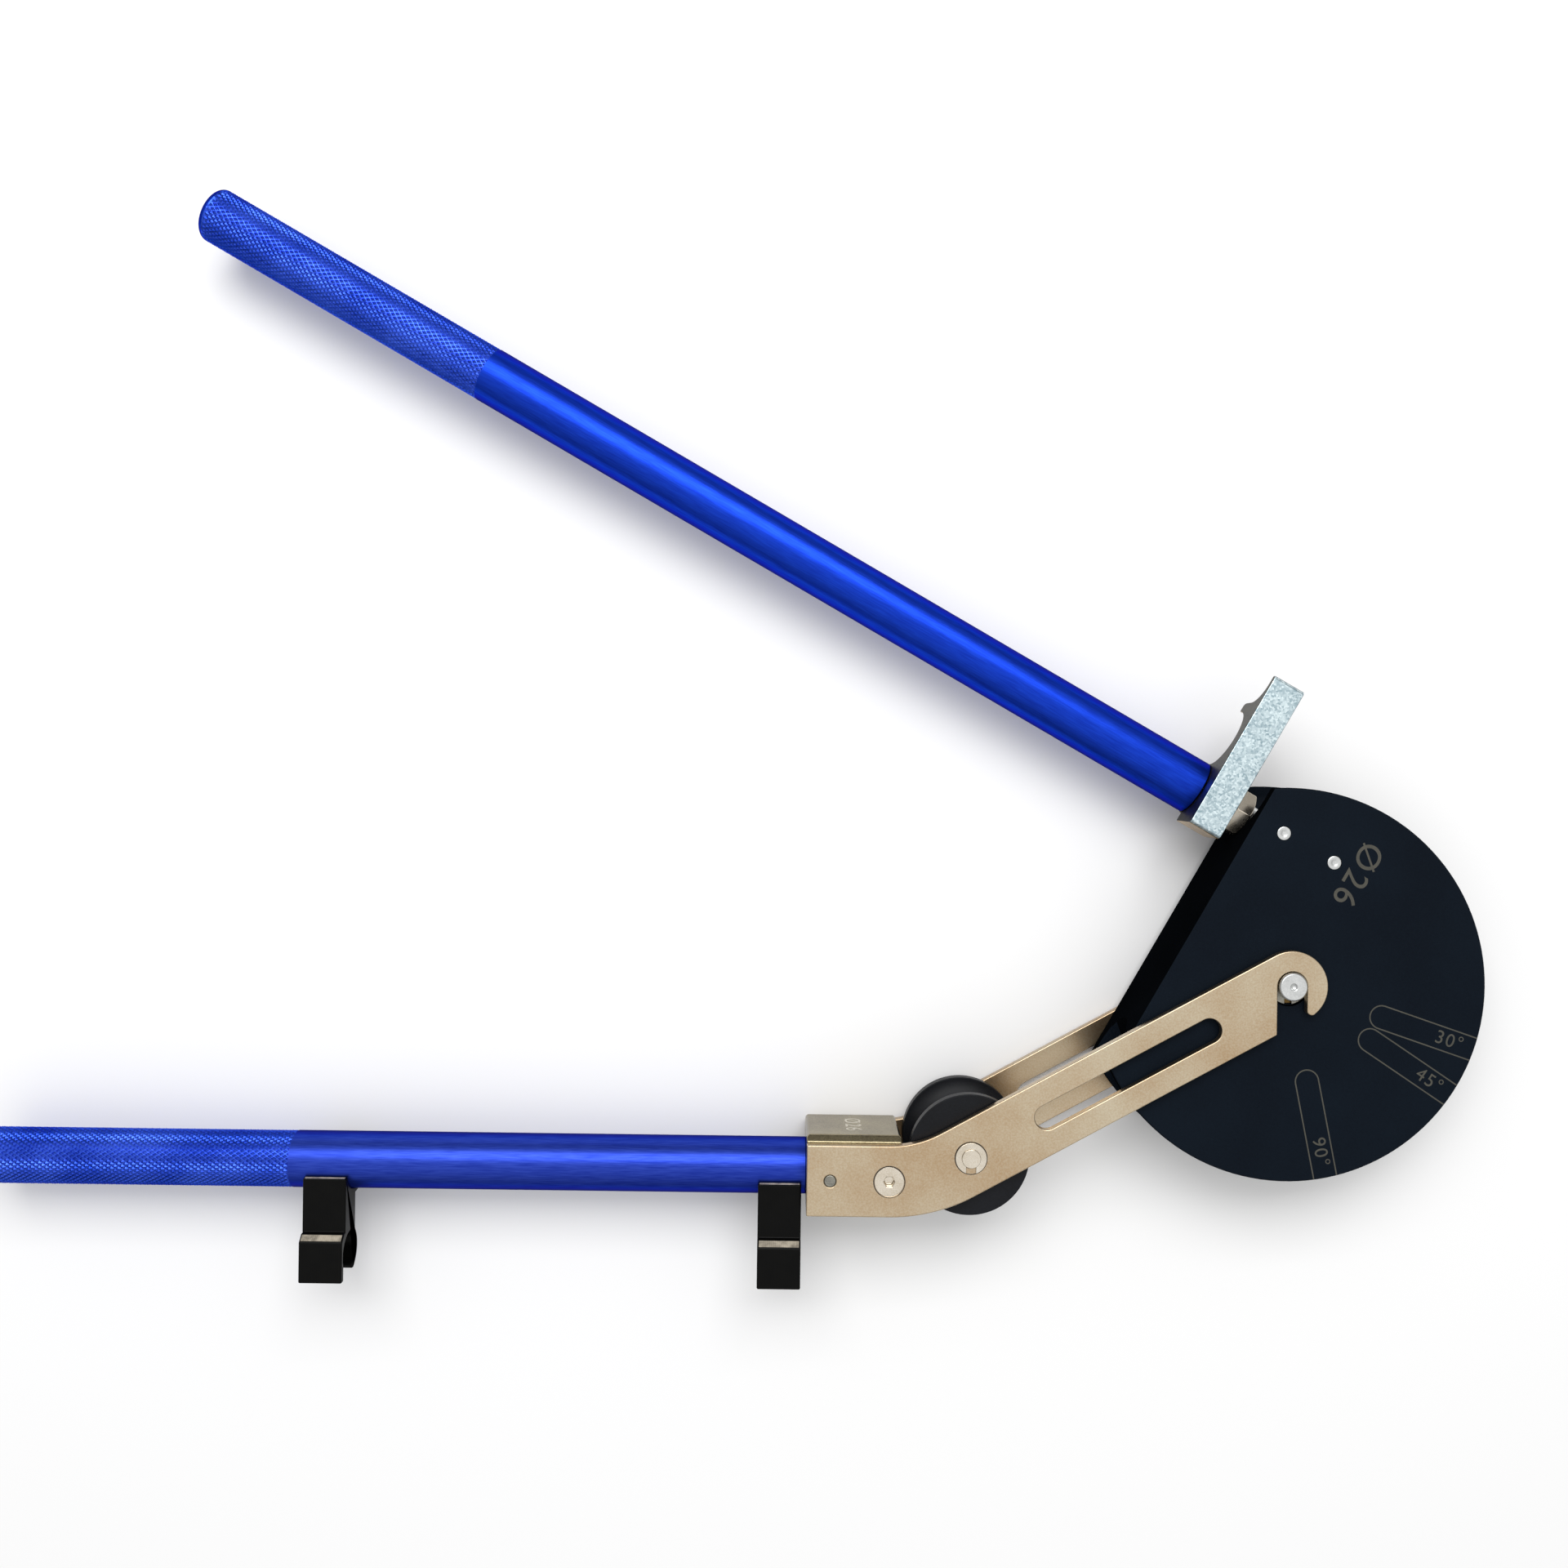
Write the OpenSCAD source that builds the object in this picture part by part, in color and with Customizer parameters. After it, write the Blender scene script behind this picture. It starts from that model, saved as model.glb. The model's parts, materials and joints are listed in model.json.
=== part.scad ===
// Hand-held lever bender for round tube.
// The tool lies flat: +Z is up and parallel to the pivot, +X runs along the lower handle from its
// grip to the fork, and the origin is on the pivot axis, on the lower end of the centre pin.
// All sizes are in millimetres.

/* [Workpiece tube] */
// Outside diameter of the tube that the tool bends
tube_d = 26; // [20:0.5:30]
// Radial clearance of every tube groove on the tube
tube_clear = 0.2; // [0.1:0.05:0.4]
// Radius of the bend, to the tube's centre line
bend_r = 80; // [65:1:110]

/* [Former] */
// Thickness of the former
former_t = 36; // [32:0.5:44]
// Height of the groove's straight walls above the tube's centre line
rim_rise = 3.5; // [2:0.5:6]
// Distance from the pivot to the former's flat side
flat_at = 47; // [40:1:56]
// Chamfer on the former's outer edges
rim_chamfer = 0.6; // [0.2:0.1:1.2]
// Direction of the upper handle, in degrees
upper_angle = 150.4; // [140:0.1:170]

/* [Centre pin] */
// Diameter of the centre pin
pin_d = 12; // [10:0.5:15]
// Radial running clearance of the pin in its bushes
pin_run = 0.05; // [0.02:0.01:0.08]
// How far the pin's ends stand proud of the fork plates
pin_proud = 1.5; // [1.3:0.1:3]
// Wall of the pin bushes
pin_bush_wall = 2; // [1.5:0.5:3]
// Thickness of the pin's retaining rings
pin_ring_t = 1; // [0.8:0.1:1.2]
// Radial width of the pin's retaining rings
pin_ring_w = 2.8; // [2:0.1:3]

/* [Stud] */
// Diameter of the stud that carries the upper handle
stud_d = 12; // [10:0.5:14]
// How far the stud reaches into the former past the pivot's plane
stud_past = 2; // [0:0.5:6]
// Diameter of the cross pins that hold the stud
cross_pin_d = 6; // [4:0.5:7]
// Distance of the outer cross pin from the pivot's plane
cross_pin_outer = 34; // [26:0.5:38]
// Distance of the inner cross pin from the pivot's plane
cross_pin_inner = 9.3; // [5:0.1:16]
// Width across the flats of the stud's nut
nut_af = 19; // [17:0.5:22]
// Thickness of the stud's nut
nut_t = 8; // [6:0.5:10]
// Thickness of the washer between nut and tube hook
stud_washer_t = 1.7; // [1:0.1:3]
// Diameter of the washer between nut and tube hook
stud_washer_d = 21; // [18:0.5:24]

/* [Tube hook] */
// Length of the tube hook along the tube
hook_t = 14.4; // [10:0.2:20]
// Wall of the hook in front of the tube
hook_wall = 6.8; // [4:0.2:9]
// Reach of the hook's front flange beyond the tube channel
hook_reach = 16.8; // [14:0.2:20]
// Thickness of the hook's outer lip
hook_lip = 4.3; // [3.5:0.1:5]
// Thickness of the hook's front flange
hook_flange_t = 3; // [2:0.1:4]
// Radius between the hook's outer lip and its front flange
hook_fillet = 9; // [6:0.5:9.5]
// Radius of the hook's boss around the stud
hook_boss_r = 12.5; // [11.5:0.1:16]
// Distance from the stud's axis to the hook's flat inner end
hook_inner = 16.4; // [13.5:0.1:18]
// Wall of the bush in the hook
hook_bush_wall = 2; // [1.5:0.5:3]
// Running gap at each end of the hook
hook_gap = 0.3; // [0.2:0.05:0.5]
// Chamfer on the hook's corners
hook_chamfer = 1.2; // [0.5:0.1:2]

/* [Handles] */
// Outside diameter of both handles
handle_d = 24; // [20:0.5:28]
// Wall of the handle tubes
handle_wall = 2.5; // [2:0.25:3]
// Length of the upper handle tube
upper_len = 496.7; // [300:1:650]
// Length of the lower handle tube
lower_len = 361.7; // [290:1:500]
// Rounding of the handles' free ends
handle_round = 2.4; // [1:0.1:2.4]
// Gap between the upper handle and the tube beside it
handle_tube_gap = 0.3; // [0.1:0.1:2]
// Length of the threaded insert in each handle
insert_len = 40; // [25:1:60]
// Length of the plug in each handle's free end
end_plug_len = 9; // [5:0.5:20]

/* [Fork] */
// Thickness of each fork plate
plate_t = 4; // [3:0.5:6]
// Running gap between the former and each plate
plate_gap = 0.8; // [0.6:0.1:1.5]
// Width of the plates
plate_w = 30; // [26:0.5:34]
// Angle between the fork's arm and the lower handle, in degrees
arm_angle = 28.8; // [20:0.2:35]
// Centre-line radius of the bend in the plates
plate_bend_r = 60; // [40:1:70]
// Rounding of the hooked head's tip
head_tip_r = 2.2; // [1.5:0.1:3]
// Radial clearance of the hook mouth on the pin
mouth_clear = 0.2; // [0.1:0.05:0.4]
// Width of the sighting slot
slot_w = 10.2; // [6:0.2:14]
// Distance from the pivot to the slot's inner end centre
slot_start = 39.5; // [30:0.5:50]
// Solid plate between the slot's outer end centre and the roller's axis
slot_margin = 36.2; // [30:0.2:45]
// Distance from the roller's axis to the corner of the plates' centre line
corner_margin = 21.7; // [18:0.1:30]

/* [Roller] */
// Outside radius of the roller
roller_r = 25.6; // [22:0.1:30]
// Distance along the tube from the bending point to the roller
roller_reach = 111; // [90:1:140]
// Diameter of the roller's axle
axle_d = 8; // [6:0.5:10]
// Wall of the roller's bush
roller_bush_wall = 2; // [1:0.5:3]
// Radial running clearance of the bush on the axle
axle_run = 0.05; // [0.02:0.01:0.08]
// Thickness of the thrust washers beside the roller
thrust_t = 0.6; // [0.4:0.1:1]
// End gap between the roller and each thrust washer
thrust_gap = 0.2; // [0.1:0.05:0.3]
// Thickness of the axle's retaining rings
axle_ring_t = 0.8; // [0.6:0.1:1.2]
// Radial width of the axle's retaining rings
axle_ring_w = 3.4; // [2:0.1:4]

/* [Socket block] */
// Length of the socket block
block_len = 40.3; // [36:0.1:60]
// How far the block stands above the plates' upper edge
block_rise = 3; // [0:0.5:8]
// Chamfer on the block's exposed corners
block_chamfer = 1; // [0.3:0.1:1.5]
// Chamfer along the block's exposed side
block_edge = 2.5; // [0.5:0.1:4]
// Diameter of the countersunk screws
screw_d = 6; // [4:0.5:8]
// Length of the countersunk screws
screw_len = 16; // [12:1:18]
// Distance from the block's inner end to the screws
screw_in = 5.5; // [5:0.1:7]
// Diameter of the dowel through plates and block
dowel_d = 5; // [4:0.5:6]
// Distance from the block's outer end to the dowel
dowel_in = 9.9; // [6:0.1:14]
// Depth of the stud's hole in the block
block_bore = 27; // [22:0.5:28]

/* [Storage clips] */
// Width of each clip along the handle
clip_w = 18.5; // [12:0.5:25]
// Wall of the jaw around the handle
clip_wall = 2.5; // [2:0.1:4]
// Distance from the socket block to the inner clip
clip_first = 2; // [1:0.5:20]
// Spacing of the two clips
clip_pitch = 194.5; // [100:0.5:240]
// Distance from the handle's surface to the lower jaw's axis
clip_stand = 25.7; // [22:0.1:33]
// Diameter of the lower jaw
jaw_d = 17.4; // [12:0.2:20]
// Wall of the lower jaw
jaw_wall = 1.8; // [1.5:0.1:3]
// Width of the lower jaw's mouth
jaw_mouth = 12.4; // [8:0.2:14]

/* [Hidden] */
$fn = 96;
eps = 0.01;

// Former and groove
groove_r = tube_d / 2 + tube_clear;
rim_r = bend_r + rim_rise;
half_t = former_t / 2;

// Fork stack, from the tool's mid-plane outwards
plate_in = half_t + plate_gap;
plate_out = plate_in + plate_t;
pin_half = plate_out + pin_proud;
mid_z = pin_half;

// Centre pin and its rings, which sit in counterbores in the former's faces
pin_r = pin_d / 2;
pin_groove = 0.5;
pin_chamfer = 0.6;
centre_drill_r = 1.6;
ring_sink = 0.5;
ring_gap = 0.3;
pin_ring_top = half_t - ring_sink;
pin_ring_low = pin_ring_top - pin_ring_t;
pin_ring_r = pin_r - pin_groove + pin_ring_w;
counterbore_low = pin_ring_low - ring_gap;
counterbore_r = pin_ring_r + 0.7;
pin_bush_r = pin_r + pin_run + pin_bush_wall;
pin_bush_len = 14;

// Stations along the stud, measured from the pivot's plane
stud_radial = bend_r - groove_r - handle_d / 2 - handle_tube_gap;
nut_end = flat_at + nut_t;
washer_end = nut_end + stud_washer_t;
nut_face_r = 0.48 * nut_af;
nut_rise = 1.2;
hook_start = washer_end + hook_gap;
hook_end = hook_start + hook_t;
upper_start = hook_end + hook_gap;
bore_run = 0.05;
hook_bush_r = stud_d / 2 + bore_run + hook_bush_wall;

// Handle bores
handle_r = handle_d / 2;
handle_bore_r = handle_r - handle_wall;

// Fork plan
roller_at = sqrt(pow(bend_r + roller_r, 2) + pow(roller_reach, 2));
corner_at = roller_at + corner_margin;
corner = [-corner_at * cos(arm_angle), -corner_at * sin(arm_angle)];
bend_tangent = plate_bend_r * tan(arm_angle / 2);
bend_steps = 12;
head_steps = 16;
tip_bite = 0.1;
slot_end = roller_at - slot_margin;
mouth_r = pin_r + mouth_clear;
roller_pos = [-roller_at * cos(arm_angle), -roller_at * sin(arm_angle)];

// Socket block
socket_lead = 9.7;
block_x1 = corner[0] - socket_lead;
block_x0 = block_x1 - block_len;
handle_y = corner[1];
screw_head_r = screw_d / 2 + 3.4;
screw_head_h = 3.3;
screw_x = block_x1 - screw_in;
dowel_x = block_x0 + dowel_in;
stud_hole_r = stud_d / 2;

// Roller
roller_half = plate_in - thrust_t - thrust_gap;
roller_bush_in = axle_d / 2 + axle_run;
roller_bush_out = roller_bush_in + roller_bush_wall;
axle_half = pin_half;
axle_groove = 0.8;
axle_ring_in = axle_d / 2 - axle_groove;

// Storage clips, in a section plane: first number along Y, second along Z, from the handle's axis
clip_fit = 0.05;
clip_open = 30;
clip_drop = handle_r + clip_stand;
clip_lip_drop = handle_r - 7.1;
neck_front = handle_r + 1.5;
jaw_r = jaw_d / 2;
jaw_out = jaw_r + jaw_wall;
jaw_z = neck_front - 6.5;
jaw_nose = 3;
jaw_mouth_up = 1.5;
jaw_side = jaw_out - 0.3;
jaw_front = jaw_z + jaw_out + 0.2;

// Raises a piece that is drawn about the tool's mid-plane.
module raised() {
    translate([0, 0, mid_z]) children();
}

// Former's own frame: x along the upper handle, y outwards to the tube.
module in_former_frame() {
    raised() rotate([0, 0, upper_angle]) mirror([0, 1, 0]) children();
}

// A round bar along x, from x0 to x1.
module bar_x(r, x0, x1) {
    translate([x0, 0, 0]) rotate([0, 90, 0]) cylinder(r = r, h = x1 - x0);
}

// A round bar along z, centred on the mid-plane.
module bar_z(r, half) {
    translate([0, 0, -half]) cylinder(r = r, h = 2 * half);
}

// The same piece above and below the mid-plane.
module both_sides() {
    children();
    mirror([0, 0, 1]) children();
}

// A flat ring along z.
module ring_z(r_out, r_in, z0, z1) {
    translate([0, 0, z0]) difference() {
        cylinder(r = r_out, h = z1 - z0);
        translate([0, 0, -eps]) cylinder(r = r_in, h = z1 - z0 + 2 * eps);
    }
}

// A retaining ring with an open gap towards -y.
module snap_ring(r_out, r_in, z0, z1, gap) {
    difference() {
        ring_z(r_out, r_in, z0, z1);
        translate([-gap / 2, -r_out - 1, z0 - 1]) cube([gap, r_out + 1, z1 - z0 + 2]);
    }
}

// Half section of the former, with its tube groove.
module former_section() {
    difference() {
        polygon([[0, -half_t], [rim_r - rim_chamfer, -half_t], [rim_r, -half_t + rim_chamfer],
            [rim_r, half_t - rim_chamfer], [rim_r - rim_chamfer, half_t], [0, half_t]]);
        translate([bend_r, 0]) circle(groove_r);
        translate([bend_r, -groove_r]) square([rim_rise + 1, 2 * groove_r]);
    }
}

module former() {
    color("#1b212b") in_former_frame() difference() {
        rotate_extrude() former_section();
        translate([flat_at, -rim_r - 1, -half_t - 1]) cube([rim_r, 2 * rim_r + 2, former_t + 2]);
        bar_z(pin_bush_r, half_t + 1);
        both_sides() translate([0, 0, counterbore_low])
            cylinder(r = counterbore_r, h = half_t - counterbore_low + 1);
        translate([0, stud_radial, 0]) bar_x(stud_hole_r, -stud_past, flat_at + 1);
        for (x = [cross_pin_inner, cross_pin_outer])
            translate([x, stud_radial, 0]) bar_z(cross_pin_d / 2, half_t + 1);
    }
}

module pin_bushes() {
    color("#b08d57") raised() both_sides()
        ring_z(pin_bush_r, pin_r + pin_run, counterbore_low - pin_bush_len, counterbore_low);
}

module stud() {
    color("#c9c9c6") in_former_frame() translate([0, stud_radial, 0]) difference() {
        bar_x(stud_d / 2, -stud_past, upper_start + insert_len - 1);
        for (x = [cross_pin_inner, cross_pin_outer])
            translate([x, 0, 0]) bar_z(cross_pin_d / 2, stud_d);
    }
}

module stud_cross_pins() {
    color("#e4e4e2") in_former_frame()
        for (x = [cross_pin_inner, cross_pin_outer])
            translate([x, stud_radial, 0]) bar_z(cross_pin_d / 2, half_t);
}

module stud_nut() {
    color("#cfc9bb") in_former_frame() translate([flat_at, stud_radial, 0]) rotate([0, 90, 0])
        difference() {
            intersection() {
                cylinder(r = nut_af / sqrt(3), h = nut_t, $fn = 6);
                rotate_extrude() polygon([[0, 0], [nut_face_r, 0], [nut_face_r + 2 * nut_rise, nut_rise],
                    [nut_face_r + 2 * nut_rise, nut_t - nut_rise], [nut_face_r, nut_t], [0, nut_t]]);
            }
            translate([0, 0, -1]) cylinder(r = stud_d / 2, h = nut_t + 2);
        }
}

module stud_washer() {
    color("#d6d2c6") in_former_frame() translate([nut_end, stud_radial, 0]) rotate([0, 90, 0])
        ring_z(stud_washer_d / 2, stud_d / 2, 0, stud_washer_t);
}

// A handle tube along x from 0, with its free end rounded.
module handle_tube(len) {
    rounding = [for (a = [0:15:90])
        [handle_r - handle_round * (1 - cos(a)), len - handle_round * (1 - sin(a))]];
    rotate([0, 90, 0]) rotate_extrude()
        polygon(concat([[handle_bore_r, 0], [handle_r, 0]], rounding, [[handle_bore_r, len]]));
}

// The threaded insert pressed into a handle's inner end.
module handle_insert() {
    difference() {
        bar_x(handle_bore_r, 0, insert_len);
        bar_x(stud_d / 2, -1, insert_len + 1);
    }
}

// The plug pressed flush into a handle's free end.
module handle_end_plug(len) {
    bar_x(handle_bore_r, len - end_plug_len, len);
}

module on_upper_handle() {
    in_former_frame() translate([upper_start, stud_radial, 0]) children();
}

module upper_handle_insert() {
    color("#b9bcc0") on_upper_handle() handle_insert();
}

module upper_handle_tube() {
    color("#2440b8") on_upper_handle() handle_tube(upper_len);
}

module upper_handle_end_plug() {
    color("#2440b8") on_upper_handle() handle_end_plug(upper_len);
}

// Tube hook in its own frame: x radial, y along the pivot, z along the stud.
module hook_body() {
    outer = bend_r + groove_r + hook_reach;
    inner = stud_radial - hook_inner;
    front = groove_r + hook_wall;
    under = front - hook_flange_t;
    lip = bend_r + groove_r + hook_lip;
    c = hook_chamfer;
    tip = hook_lip / 2;
    fillet = [for (i = [0:12]) [lip + hook_fillet, under - hook_fillet]
        + hook_fillet * [-sin(i * 7.5), cos(i * 7.5)]];
    rounding = [for (i = [0:8]) [lip - tip, tip] + tip * [cos(i * 11.25), -sin(i * 11.25)]];
    difference() {
        union() {
            linear_extrude(hook_t) polygon(concat([[inner, 0], [inner, front - c],
                [inner + c, front], [outer - c, front], [outer, front - c], [outer, under]],
                fillet, rounding));
            translate([stud_radial, 0, 0]) cylinder(r = hook_boss_r, h = hook_t);
        }
        translate([bend_r, 0, -1]) cylinder(r = groove_r, h = hook_t + 2);
        translate([bend_r - groove_r, -groove_r - 1, -1])
            cube([2 * groove_r, groove_r + 1, hook_t + 2]);
        translate([stud_radial, 0, -1]) cylinder(r = hook_bush_r, h = hook_t + 2);
    }
}

module tube_hook() {
    color("#a9bcc4") in_former_frame() translate([hook_start, 0, 0])
        rotate([90, 0, 90]) hook_body();
}

module hook_bush() {
    color("#b08d57") in_former_frame() translate([hook_start, stud_radial, 0])
        rotate([0, 90, 0]) ring_z(hook_bush_r, stud_d / 2 + bore_run, 0, hook_t);
}

module centre_pin() {
    color("#dcdcd8") raised() difference() {
        union() {
            bar_z(pin_r, pin_half - pin_chamfer);
            both_sides() translate([0, 0, pin_half - pin_chamfer])
                cylinder(r1 = pin_r, r2 = pin_r - pin_chamfer, h = pin_chamfer);
        }
        both_sides() ring_z(pin_r + 1, pin_r - pin_groove, pin_ring_low, pin_ring_top);
        translate([0, 0, pin_half - centre_drill_r])
            cylinder(r1 = 0, r2 = centre_drill_r + eps, h = centre_drill_r + eps);
    }
}

module pin_retaining_rings() {
    color("#5c5f63") raised() both_sides()
        snap_ring(pin_ring_r, pin_r - pin_groove, pin_ring_low, pin_ring_top, pin_d / 4);
}

// Outline of the plates' bent band, from the socket end to the pivot.
module band_outline() {
    half_w = plate_w / 2;
    bend_c = [corner[0] - bend_tangent, corner[1] + plate_bend_r];
    function bend_point(r, a) = bend_c + r * [sin(a), -cos(a)];
    outer = [for (i = [0:bend_steps]) bend_point(plate_bend_r + half_w, arm_angle * i / bend_steps)];
    inner = [for (i = [bend_steps:-1:0])
        bend_point(plate_bend_r - half_w, arm_angle * i / bend_steps)];
    head = [for (i = [-head_steps:head_steps]) let (a = arm_angle + 90 * i / head_steps)
        half_w * [cos(a), sin(a)]];
    polygon(concat([[block_x0, handle_y - half_w]], outer, head, inner,
        [[block_x0, handle_y + half_w]]));
}

// Trims the head's tip, beside the mouth, to a rounded end.
module tip_cutter(h) {
    edge = plate_w / 2;
    out_r = edge - head_tip_r + tip_bite;
    x = mouth_r + head_tip_r - tip_bite;
    c = [x, -sqrt(out_r * out_r - x * x)];
    difference() {
        linear_extrude(h) polygon([c, c - [2 * head_tip_r, 0], [x - 2 * head_tip_r, -2 * edge],
            [2 * edge, -2 * edge], c * (1 + 2 * head_tip_r / out_r)]);
        translate([c[0], c[1], -1]) cylinder(r = head_tip_r, h = h + 2);
    }
}

// A slot-shaped cutter along x, from centre to centre.
module slot_cutter(r, x0, x1, h) {
    for (x = [x0, x1]) translate([x, 0, 0]) cylinder(r = r, h = h);
    translate([x0, -r, 0]) cube([x1 - x0, 2 * r, h]);
}

// A countersunk screw, its head flush with z = 0 and its tip downwards.
module countersunk_body(extra) {
    translate([0, 0, -screw_head_h])
        cylinder(r1 = screw_d / 2, r2 = screw_head_r, h = screw_head_h);
    cylinder(r = screw_head_r, h = extra);
    translate([0, 0, -screw_len]) cylinder(r = screw_d / 2, h = screw_len - screw_head_h + eps);
}

// The front plate, above the mid-plane.
module fork_plate() {
    cut = plate_t + 2;
    difference() {
        translate([0, 0, plate_in]) linear_extrude(plate_t) band_outline();
        translate([0, 0, plate_in - 1]) {
            rotate(-90) slot_cutter(mouth_r, 0, 2 * plate_w, cut);
            tip_cutter(cut);
            rotate(180 + arm_angle) slot_cutter(slot_w / 2, slot_start, slot_end, cut);
            translate(roller_pos) cylinder(r = axle_d / 2, h = cut);
            translate([dowel_x, handle_y, 0]) cylinder(r = dowel_d / 2, h = cut);
        }
        translate([screw_x, handle_y, plate_out]) countersunk_body(1);
    }
}

module fork_plate_front() {
    color("#cdb896") raised() fork_plate();
}

module fork_plate_rear() {
    color("#cdb896") raised() mirror([0, 0, 1]) fork_plate();
}

module socket_block() {
    y0 = handle_y - plate_w / 2;
    y1 = handle_y + plate_w / 2 + block_rise;
    x0 = block_x0;
    x1 = block_x1;
    c = block_chamfer;
    edge = sqrt(2) * min(block_edge, 0.85 * block_rise + 0.1);
    color("#c9b592") raised() difference() {
        translate([0, 0, -plate_in]) linear_extrude(2 * plate_in)
            polygon([[x0, y0], [x0, y1 - c], [x0 + c, y1], [x1 - c, y1], [x1, y1 - c], [x1, y0]]);
        translate([0, handle_y, 0]) bar_x(stud_hole_r, x0 - 1, x0 + block_bore);
        translate([dowel_x, handle_y, 0]) bar_z(dowel_d / 2, plate_in + 1);
        both_sides() translate([screw_x, handle_y, plate_out]) countersunk_body(1);
        both_sides() translate([(x0 + x1) / 2, y1, plate_in]) rotate([45, 0, 0])
            cube([x1 - x0 + 2, edge, edge], center = true);
    }
}

module socket_screws() {
    socket_af = screw_d * 2 / 3;
    color("#cfd0ce") raised() both_sides() translate([screw_x, handle_y, plate_out])
        difference() {
            countersunk_body(0);
            translate([0, 0, -screw_head_h])
                cylinder(r = socket_af / sqrt(3), h = screw_head_h + 1, $fn = 6);
        }
}

module socket_dowel() {
    color("#8b8778") raised() translate([dowel_x, handle_y, 0]) bar_z(dowel_d / 2, plate_out);
}

module roller_axle() {
    color("#d2d0c8") raised() translate(roller_pos) difference() {
        bar_z(axle_d / 2, axle_half);
        both_sides() ring_z(axle_d, axle_ring_in, plate_out, plate_out + axle_ring_t);
    }
}

module axle_retaining_rings() {
    color("#a8a89f") raised() translate(roller_pos) both_sides()
        snap_ring(axle_ring_in + axle_ring_w, axle_ring_in, plate_out, plate_out + axle_ring_t,
            axle_d / 2);
}

module thrust_washers() {
    color("#e8e4d8") raised() translate(roller_pos) both_sides()
        ring_z(axle_d, axle_d / 2, plate_in - thrust_t, plate_in);
}

// The lower handle's frame: x from the socket block to the free end.
module on_lower_handle() {
    raised() translate([block_x0, handle_y, 0]) mirror([1, 0, 0]) children();
}

module lower_handle_stud() {
    color("#c9c9c6") on_lower_handle() difference() {
        bar_x(stud_d / 2, -block_bore, insert_len - 1);
        translate([-dowel_in, 0, 0]) bar_z(dowel_d / 2, stud_d);
    }
}

module lower_handle_insert() {
    color("#b9bcc0") on_lower_handle() handle_insert();
}

module lower_handle_tube() {
    color("#2440b8") on_lower_handle() handle_tube(lower_len);
}

module lower_handle_end_plug() {
    color("#2440b8") on_lower_handle() handle_end_plug(lower_len);
}

// Storage clip in its own frame: x along Y, y along Z, both from the handle's axis, z its width.
module clip_body() {
    grip = handle_r + clip_fit;
    reach = 3 * handle_d;
    difference() {
        union() {
            difference() {
                cylinder(r = grip + clip_wall, h = clip_w);
                translate([0, 0, -1]) linear_extrude(clip_w + 2) polygon([[0, 0],
                    [reach * tan(clip_open), -reach], [reach, -reach], [reach, reach],
                    [-reach * clip_lip_drop / neck_front, reach]]);
            }
            translate([-clip_drop, 0, 0]) cube([clip_drop - clip_lip_drop, neck_front, clip_w]);
            translate([-clip_drop, jaw_z, 0]) cylinder(r = jaw_out, h = clip_w);
            linear_extrude(clip_w) polygon([[-clip_drop - jaw_side, jaw_z],
                [-clip_drop - jaw_side, jaw_front], [-clip_drop + jaw_side - jaw_nose, jaw_front],
                [-clip_drop + jaw_side, jaw_front - jaw_nose], [-clip_drop + jaw_side, jaw_z]]);
        }
        translate([0, 0, -1]) cylinder(r = grip, h = clip_w + 2);
        translate([-clip_drop, jaw_z, -1]) cylinder(r = jaw_r, h = clip_w + 2);
        translate([-clip_drop - 3 * jaw_r, jaw_z + jaw_mouth_up - jaw_mouth / 2, -1])
            cube([3 * jaw_r, jaw_mouth, clip_w + 2]);
    }
}

// A storage clip, at a distance from the socket block.
module storage_clip(start) {
    raised() translate([block_x0 - start - clip_w, handle_y, 0]) rotate([90, 0, 90]) clip_body();
}

module storage_clip_inner() {
    color("#141414") storage_clip(clip_first);
}

module storage_clip_outer() {
    color("#141414") storage_clip(clip_first + clip_pitch);
}

module roller_section() {
    difference() {
        translate([roller_bush_out, -roller_half])
            square([roller_r - roller_bush_out, 2 * roller_half]);
        translate([roller_r, 0]) circle(groove_r);
    }
}

module roller() {
    color("#17181a") raised() translate(roller_pos) rotate_extrude() roller_section();
}

module roller_bush() {
    color("#b08d57") raised() translate(roller_pos)
        ring_z(roller_bush_out, roller_bush_in, -roller_half, roller_half);
}

former();
pin_bushes();
stud();
stud_cross_pins();
stud_nut();
stud_washer();
upper_handle_insert();
upper_handle_tube();
upper_handle_end_plug();
tube_hook();
hook_bush();
centre_pin();
pin_retaining_rings();
fork_plate_front();
fork_plate_rear();
socket_block();
socket_screws();
socket_dowel();
roller_axle();
axle_retaining_rings();
thrust_washers();
lower_handle_stud();
lower_handle_insert();
lower_handle_tube();
lower_handle_end_plug();
storage_clip_inner();
storage_clip_outer();
roller();
roller_bush();
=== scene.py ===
"""Looks of a hand-held lever bender for round tube, built around its construction model."""
import json
import logging
import math
from dataclasses import dataclass, field
from enum import Enum
from typing import Iterable

import bmesh
import bpy
from mathutils import Matrix, Vector


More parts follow.
